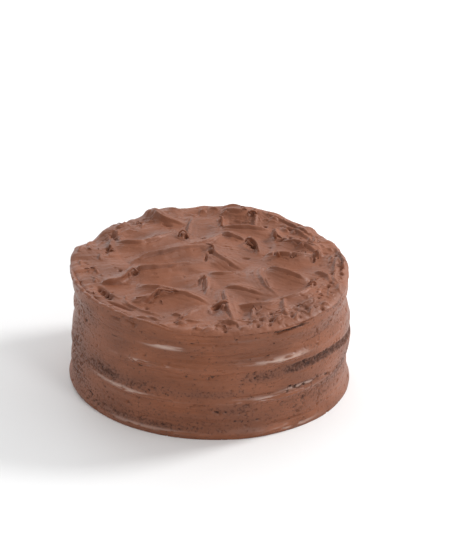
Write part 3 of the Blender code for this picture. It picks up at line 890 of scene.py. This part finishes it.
def make_top(material):
    """The swirled icing: a relief whose rim turns under, and the strips that stand on it."""
    share, angle = disc_places(TOP_RINGS)
    degrees = apart(np.degrees(angle), -90)
    covered = left_cover(degrees)
    edge_z = rim_height(degrees) - 2
    ragged = 0.6 * side_noise(degrees, 0 * degrees, 10, 1, 81)
    ragged = ragged + 0.25 * side_noise(degrees, 0 * degrees, 4, 1, 82)
    outline = coat_radius(degrees, edge_z) + TOP_OVERHANG + ragged - COVERED_INSET * covered
    radius = share * outline
    x, y, z = top_surface(radius * np.cos(angle), radius * np.sin(angle))
    over_edge = np.clip(1 - (outline - radius) / RIM_ROUND, 0, 1)
    z -= RIM_DROP * over_edge**2
    points = [np.stack([x, y, z], axis=1)]
    rim_count = 6 * TOP_RINGS
    rim_degrees = degrees[-rim_count:]
    rim_z = z[-rim_count:]
    rim_radius = outline[-rim_count:]
    zero = 0 * rim_degrees
    hem = HEM_HEIGHT + 0.9 * side_noise(rim_degrees, zero, 9, 1, 83)
    hem += 0.8 * side_noise(rim_degrees, zero, 3, 1, 84)
    hem += TOP_RISE_TO_BACK * rim_radius * np.sin(angle[-rim_count:]) * 0.5
    hem = np.minimum(hem, rim_z - HEM_UNDER_RIM)
    # Rows of points down the rim's face, under its hem and in to the flat bottom
    rows = (
        (rim_radius + 0.15, 0.3 * hem + 0.7 * rim_z),
        (rim_radius + 0.1, 0.7 * hem + 0.3 * rim_z),
        (rim_radius - 0.1, hem),
        (rim_radius - 0.6, hem - 0.3),
        (rim_radius - 3.0, hem - 0.4),
        (rim_radius - 6.0, zero + TOP_BOTTOM),
    )
    for row_radius, row_z in rows:
        points.append(on_side(row_radius, rim_degrees, row_z))
    faces = disc_faces(TOP_RINGS)
    first = ring_start(TOP_RINGS)
    for row in range(len(rows)):
        for i in range(rim_count):
            j = (i + 1) % rim_count
            upper = first + row * rim_count
            lower = upper + rim_count
            faces.append((upper + i, lower + i, lower + j, upper + j))
    bottom = first + len(rows) * rim_count
    faces.append(tuple(reversed(range(bottom, bottom + rim_count))))
    start = bottom + rim_count
    for ribbon in (*RIBBONS, *torn_scraps()):
        ribbon_points, ribbon_faces = ribbon_shell(ribbon)
        points.append(ribbon_points)
        faces += [tuple(start + i for i in face) for face in ribbon_faces]
        start += len(ribbon_points)
    return make_object("top_swirls", np.concatenate(points), faces, material)


def ribbon_shell(ribbon):
    """Points and faces of one curled strip, which thins towards both ends."""
    places = np.array([(x, y, floor_height(x, y) + height) for x, y, height in ribbon.places])
    count = RIBBON_STEPS * (len(places) - 1) + 1
    share = np.linspace(0, len(places) - 1, count)
    line = np.stack([np.interp(share, range(len(places)), values) for values in places.T], axis=1)
    for _ in range(3):
        line[1:-1] = (line[:-2] + 2 * line[1:-1] + line[2:]) / 4
    travel = np.gradient(line, axis=0)
    travel /= np.linalg.norm(travel, axis=1, keepdims=True)
    across = np.cross(travel, (0.3, -0.9, 0.3))
    across /= np.linalg.norm(across, axis=1, keepdims=True)
    upright = np.cross(across, travel)
    half = ribbon.half * (0.3 + 0.7 * np.sin(math.pi * np.linspace(0.08, 0.92, count)) ** 0.6)
    points = []
    for side in range(RIBBON_SIDES):
        turn = 2 * math.pi * side / RIBBON_SIDES
        offset = math.cos(turn) * across + RIBBON_STAND * math.sin(turn) * upright
        points.append(line + half[:, None] * offset)
    points = np.stack(points, axis=1).reshape(-1, 3)
    return points, capped_tube_faces(count, RIBBON_SIDES)


def make_side(material):
    """The thin coat: a relief round the side that turns over into a lip and closes behind."""
    degrees = np.arange(SIDE_COLUMNS) * 360 / SIDE_COLUMNS - 180
    zero = 0 * degrees
    lip_noise = 0.5 * side_noise(degrees, zero, 12, 1, 91)
    lip_noise += 0.4 * side_noise(degrees, zero, 4, 1, 92)
    covered = left_cover(degrees)
    lip = rim_height(degrees) + lip_noise + LIP_OVER_TOP * covered - LIP_UNDER_TOP * (1 - covered)
    sunk = np.minimum(bank_rise(*rim_place(degrees)), 0)
    lip += LIP_FOLLOWS_BANKS * sunk * (1 - covered)
    grid_z = np.linspace(0, 1, SIDE_ROWS)[:, None] * (lip - LIP_ROUND)[None, :]
    grid_degrees = np.broadcast_to(degrees, grid_z.shape)
    radius = coat_relief(grid_degrees, grid_z)
    thin = thinness(grid_degrees, grid_z)
    rows = [on_side(radius, grid_degrees, grid_z).reshape(-1, 3)]
    edge = radius[-1]
    for inset, drop in LIP_TURN:
        rows.append(on_side(edge - inset, degrees, lip - drop))
    rows.append(on_side(zero + COAT_INSIDE, degrees, zero + TOP_BOTTOM))
    rows.append(on_side(zero + COAT_INSIDE, degrees, zero))
    points = np.concatenate(rows)
    faces = tube_faces(SIDE_ROWS + len(rows) - 1, SIDE_COLUMNS)
    obj = make_object("side_coat", points, faces, material)
    behind = np.zeros(len(points) - thin.size)
    add_values(obj, "thin", np.concatenate([thin.ravel(), behind]))
    add_values(obj, "gloss_and_painted_highlight", np.concatenate([gloss_and_painted_highlight(grid_degrees, grid_z).ravel(), behind]))
    return obj


def sponge_radius(degrees, z):
    """The crumbly side of a sponge layer, just behind the coat."""
    rough = 0.5 * side_noise(degrees, z, 2.6, 1.9, 101)
    rough += 0.35 * side_noise(degrees, z, 1.3, 1.1, 102)
    return coat_radius(degrees, z) - SPONGE_BEHIND + rough


def layer_grid(bottom, top, rows, columns):
    """The angles and heights of a grid of points round a layer."""
    degrees = np.arange(columns) * 360 / columns - 180
    return np.meshgrid(degrees, np.linspace(bottom, top, rows))


def make_layer(name, radius, degrees, z, material):
    """A layer with this radius at each point of its grid."""
    points = on_side(radius, degrees, z).reshape(-1, 3)
    return make_object(name, points, capped_tube_faces(*z.shape), material)


def make_sponge(name, bottom, top, material):
    """One layer of sponge with a crumbly side."""
    rows = round((top - bottom) / SPONGE_ROW_HEIGHT) + 1
    degrees, z = layer_grid(bottom, top, rows, SPONGE_COLUMNS)
    return make_layer(name, sponge_radius(degrees, z), degrees, z, material)


def make_filling(name, bottom, top, smears, material):
    """A disc of icing between two sponges, which smears out over the coat in places."""
    degrees, z = layer_grid(bottom, top, FILLING_ROWS, SIDE_COLUMNS)
    radius = coat_radius(degrees, z) - FILLING_BEHIND
    middle = (bottom + top) / 2 + 0.8 * side_noise(degrees, 0 * z, 20, 1, 111)
    across = 1 - ((z - middle) / ((top - bottom) / 2)) ** 2
    broken = 0.5 + 0.6 * side_noise(degrees, z, 16, 2.2, 112)
    broken += 0.3 * side_noise(degrees, z, 4, 1, 113)
    for smear in smears:
        within = ease(degrees, smear.from_angle, smear.from_angle + SMEAR_FADE)
        within = within * (1 - ease(degrees, smear.to_angle - SMEAR_FADE, smear.to_angle))
        out = FILLING_BEHIND + smear.depth
        radius += within * np.clip(across, 0, 1) * out * ease(broken, 0.1, 0.6)
    return make_layer(name, radius, degrees, z, material)


class Graph:
    """Short calls for the nodes of one material."""

    def __init__(self, name):
        self.material = bpy.data.materials.new(name)
        self.material.use_nodes = True
        self.nodes = self.material.node_tree.nodes
        self.links = self.material.node_tree.links
        self.shader = self.nodes["Principled BSDF"]

    def node(self, kind, **values):
        """A new node with these settings."""
        node = self.nodes.new(kind)
        for key, value in values.items():
            setattr(node, key, value)
        return node

    def noise(self, scale, detail=3.0, stretch=(1, 1, 1), offset=0.0):
        """Noise over the object's own coordinates; scale is in bumps a metre."""
        coordinates = self.node("ShaderNodeTexCoord")
        mapping = self.node("ShaderNodeMapping")
        mapping.inputs["Scale"].default_value = stretch
        mapping.inputs["Location"].default_value = (offset, offset, offset)
        texture = self.node("ShaderNodeTexNoise")
        texture.inputs["Scale"].default_value = scale
        texture.inputs["Detail"].default_value = detail
        self.links.new(coordinates.outputs["Object"], mapping.inputs["Vector"])
        self.links.new(mapping.outputs["Vector"], texture.inputs["Vector"])
        return texture.outputs["Fac"]

    def span(self, value, from_low, from_high, to_low, to_high):
        """A value moved from one range to another and held inside it."""
        node = self.node("ShaderNodeMapRange")
        node.inputs["From Min"].default_value = from_low
        node.inputs["From Max"].default_value = from_high
        node.inputs["To Min"].default_value = to_low
        node.inputs["To Max"].default_value = to_high
        self.links.new(value, node.inputs["Value"])
        return node.outputs["Result"]

    def mix(self, factor, low, high):
        """A colour between two, each a tuple or another node's output."""
        node = self.node("ShaderNodeMix", data_type="RGBA")
        factor_in, low_in, high_in = node.inputs[0], node.inputs[6], node.inputs[7]
        self.links.new(factor, factor_in)
        for value, socket in ((low, low_in), (high, high_in)):
            if isinstance(value, tuple):
                socket.default_value = value
            else:
                self.links.new(value, socket)
        return node.outputs[2]

    def math(self, operation, first, second):
        """Arithmetic on two values, each a number or another node's output."""
        node = self.node("ShaderNodeMath", operation=operation)
        for value, socket in ((first, node.inputs[0]), (second, node.inputs[1])):
            if isinstance(value, (int, float)):
                socket.default_value = value
            else:
                self.links.new(value, socket)
        return node.outputs["Value"]

    def bump(self, height, distance, strength, normal=None):
        """A bumped normal, on top of another if one is given."""
        node = self.node("ShaderNodeBump")
        node.inputs["Distance"].default_value = distance
        node.inputs["Strength"].default_value = strength
        self.links.new(height, node.inputs["Height"])
        if normal is not None:
            self.links.new(normal, node.inputs["Normal"])
        return node.outputs["Normal"]

    def attach(self, color=None, roughness=None, normal=None):
        """Links what is given to the material's shader."""
        for value, name in ((color, "Base Color"), (roughness, "Roughness"), (normal, "Normal")):
            if value is not None:
                self.links.new(value, self.shader.inputs[name])


def icing_material():
    """The icing on top: a satin surface with broad and fine changes."""
    graph = Graph("fudge_icing")
    broad = graph.noise(45, 4)
    fine = graph.noise(500, 3, offset=0.3)
    color = graph.mix(graph.span(broad, 0.35, 0.68, 0, 1), ICING_DARK, ICING_LIGHT)
    roughness = graph.span(fine, 0.3, 0.7, 0.48, 0.62)
    normal = graph.bump(graph.noise(900, 4), 0.0004, 0.45)
    normal = graph.bump(graph.noise(260, 3, offset=0.7), 0.0008, 0.25, normal)
    graph.attach(color, roughness, normal)
    graph.shader.inputs["Specular IOR Level"].default_value = 0.42
    return graph.material


def coat_material():
    """The scraped side coat: fine level lines, crumb specks where it is thin, painted highlights.
    """
    graph = Graph("scraped_icing")
    lines = graph.noise(140, 4, stretch=(0.35, 0.35, 5))
    broad = graph.noise(38, 4, stretch=(1, 1, 2), offset=0.2)
    color = graph.mix(graph.span(broad, 0.35, 0.68, 0, 1), ICING_DARK, ICING_LIGHT)
    thin = graph.node("ShaderNodeAttribute", attribute_name="thin").outputs["Fac"]
    color = graph.mix(graph.span(thin, 0.06, 0.5, 0, 0.75), color, THIN_ICING)
    speck = graph.math("ADD", graph.noise(620, 3, offset=0.5), graph.math("MULTIPLY", thin, 0.42))
    show = graph.span(speck, 0.62, 0.76, 0, 1)
    crumb = graph.mix(graph.noise(900, 2, offset=0.9), CRUMB_DARK, CRUMB_LIGHT)
    color = graph.mix(graph.math("MULTIPLY", show, 0.85), color, crumb)
    # Glossy places: a painted highlight lightens their colour, and their roughness drops
    gloss_and_highlight = graph.node("ShaderNodeAttribute", attribute_name="gloss_and_painted_highlight").outputs["Fac"]
    color = graph.mix(graph.math("MULTIPLY", gloss_and_highlight, 0.75), color, PAINTED_HIGHLIGHT_ICING)
    roughness = graph.span(show, 0, 1, 0.42, 0.95)
    roughness = graph.math("SUBTRACT", roughness, graph.math("MULTIPLY", gloss_and_highlight, 0.28))
    graph.attach(color=color, roughness=roughness)
    normal = graph.bump(lines, 0.0012, 0.3)
    normal = graph.bump(speck, 0.0008, 0.3, normal)
    graph.attach(normal=normal)
    graph.shader.inputs["Specular IOR Level"].default_value = 0.34
    return graph.material


def filling_material():
    """The fillings: the same icing, smoother and glossier."""
    graph = Graph("glossy_filling")
    color = graph.mix(graph.noise(120, 3), ICING_DARK, ICING_LIGHT)
    roughness = graph.span(graph.noise(300, 3, stretch=(0.5, 0.5, 2)), 0.3, 0.7, 0.12, 0.3)
    normal = graph.bump(graph.noise(220, 3, stretch=(0.5, 0.5, 3)), 0.001, 0.35)
    graph.attach(color, roughness, normal)
    return graph.material


def sponge_material():
    """Dark, rough crumb."""
    graph = Graph("sponge_crumb")
    coarse = graph.noise(420, 5)
    color = graph.mix(graph.span(coarse, 0.35, 0.65, 0, 1), CRUMB_DARK, CRUMB_LIGHT)
    graph.attach(color=color, normal=graph.bump(coarse, 0.0015, 0.8))
    graph.shader.inputs["Roughness"].default_value = 0.85
    graph.shader.inputs["Specular IOR Level"].default_value = 0.3
    return graph.material


def floor_material():
    """A pale, even floor."""
    graph = Graph("pale_floor")
    graph.attach(color=graph.mix(graph.noise(3, 2), FLOOR_DARK, FLOOR_LIGHT))
    graph.shader.inputs["Roughness"].default_value = 0.7
    return graph.material


def make_camera():
    """The camera at the photograph's place, which looks down at the cake's front."""
    elevation = math.radians(CAMERA_ELEVATION)
    roll = math.radians(CAMERA_ROLL)
    focal = PIXELS_PER_MM * 1000 * CAMERA_DISTANCE
    place = Vector((0, -math.cos(elevation), math.sin(elevation))) * CAMERA_DISTANCE
    gaze = -place.normalized()
    level_right = Vector((1, 0, 0))
    level_up = level_right.cross(gaze)
    right = level_right * math.cos(roll) + level_up * math.sin(roll)
    up = right.cross(gaze)
    # The base's centre is seen at BASE_PIXEL, so the camera turns by that much
    aim = Vector((
        (BASE_PIXEL[0] - PHOTO_WIDTH / 2) / focal,
        (PHOTO_HEIGHT / 2 - BASE_PIXEL[1]) / focal,
        -1,
    )).normalized()
    straight = Matrix((right, up, -gaze)).transposed()
    turn = aim.rotation_difference(Vector((0, 0, -1))).to_matrix()
    data = bpy.data.cameras.new("camera")
    data.sensor_width = SENSOR
    data.lens = focal * SENSOR / PHOTO_HEIGHT
    camera = add_object("camera", data)
    camera.matrix_world = Matrix.Translation(place) @ (straight @ turn).to_4x4()
    bpy.context.scene.camera = camera


def make_area_light(lamp):
    """The light of one lamp."""
    data = bpy.data.lights.new(lamp.name, "AREA")
    data.shape = "DISK"
    data.size = lamp.size
    data.energy = lamp.watts
    data.color = lamp.color
    light = add_object(lamp.name, data)
    light.location = lamp.place
    light.rotation_mode = "QUATERNION"
    light.rotation_quaternion = (-Vector(lamp.place)).to_track_quat("-Z", "Y")


def make_stage():
    """The floor, the surroundings and the lights."""
    mesh = bpy.data.meshes.new("floor")
    signs = ((-1, -1), (1, -1), (1, 1), (-1, 1))
    corners = [(x * FLOOR_HALF, y * FLOOR_HALF, 0) for x, y in signs]
    mesh.from_pydata(corners, [], [(0, 1, 2, 3)])
    mesh.materials.append(floor_material())
    floor = add_object("floor", mesh)
    bpy.context.scene.world = make_studio()
    for lamp in LAMPS:
        make_area_light(lamp)
    bpy.context.scene.view_settings.view_transform = "Standard"


def make_studio():
    """White surroundings, brighter at the back."""
    world = bpy.data.worlds.new("studio")
    world.use_nodes = True
    nodes = world.node_tree.nodes
    links = world.node_tree.links
    direction = nodes.new("ShaderNodeTexCoord")
    split = nodes.new("ShaderNodeSeparateXYZ")
    ramp = nodes.new("ShaderNodeMapRange")
    ramp.inputs["From Min"].default_value = -1
    ramp.inputs["To Min"].default_value = FRONT_GLOW
    ramp.inputs["To Max"].default_value = BACK_GLOW
    links.new(direction.outputs["Generated"], split.inputs["Vector"])
    links.new(split.outputs["Y"], ramp.inputs["Value"])
    background = nodes["Background"]
    background.inputs["Color"].default_value = (1, 1, 1, 1)
    links.new(ramp.outputs["Result"], background.inputs["Strength"])
    return world


def main():
    """Builds the stage and every piece."""
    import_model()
    make_stage()
    make_camera()
    icing = icing_material()
    filling = filling_material()
    sponge = sponge_material()
    fillings = (
        ("lower_filling", LOWER_SPONGE_TOP, LOWER_FILLING_TOP, LOWER_SMEARS, "filling_lower"),
        ("upper_filling", MIDDLE_SPONGE_TOP, UPPER_SPONGE_BOTTOM, UPPER_SMEARS, "filling_upper"),
    )
    sponges = (
        ("lower_crumb", 0, LOWER_SPONGE_TOP, "sponge_lower"),
        ("middle_crumb", MIDDLE_SPONGE_BOTTOM, MIDDLE_SPONGE_TOP, "sponge_middle"),
        ("upper_crumb", UPPER_SPONGE_BOTTOM, UPPER_SPONGE_TOP, "sponge_upper"),
    )
    pieces = [
        (make_top(icing), "top_icing", "icing"),
        (make_side(coat_material()), "side_icing", "icing"),
    ]
    for name, bottom, top, smears, node in fillings:
        pieces.append((make_filling(name, bottom, top, smears, filling), node, "filling"))
    for name, bottom, top, node in sponges:
        pieces.append((make_sponge(name, bottom, top, sponge), node, "sponge"))
    for piece, node, slot in pieces:
        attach(piece, "root")
        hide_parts(node)


main()
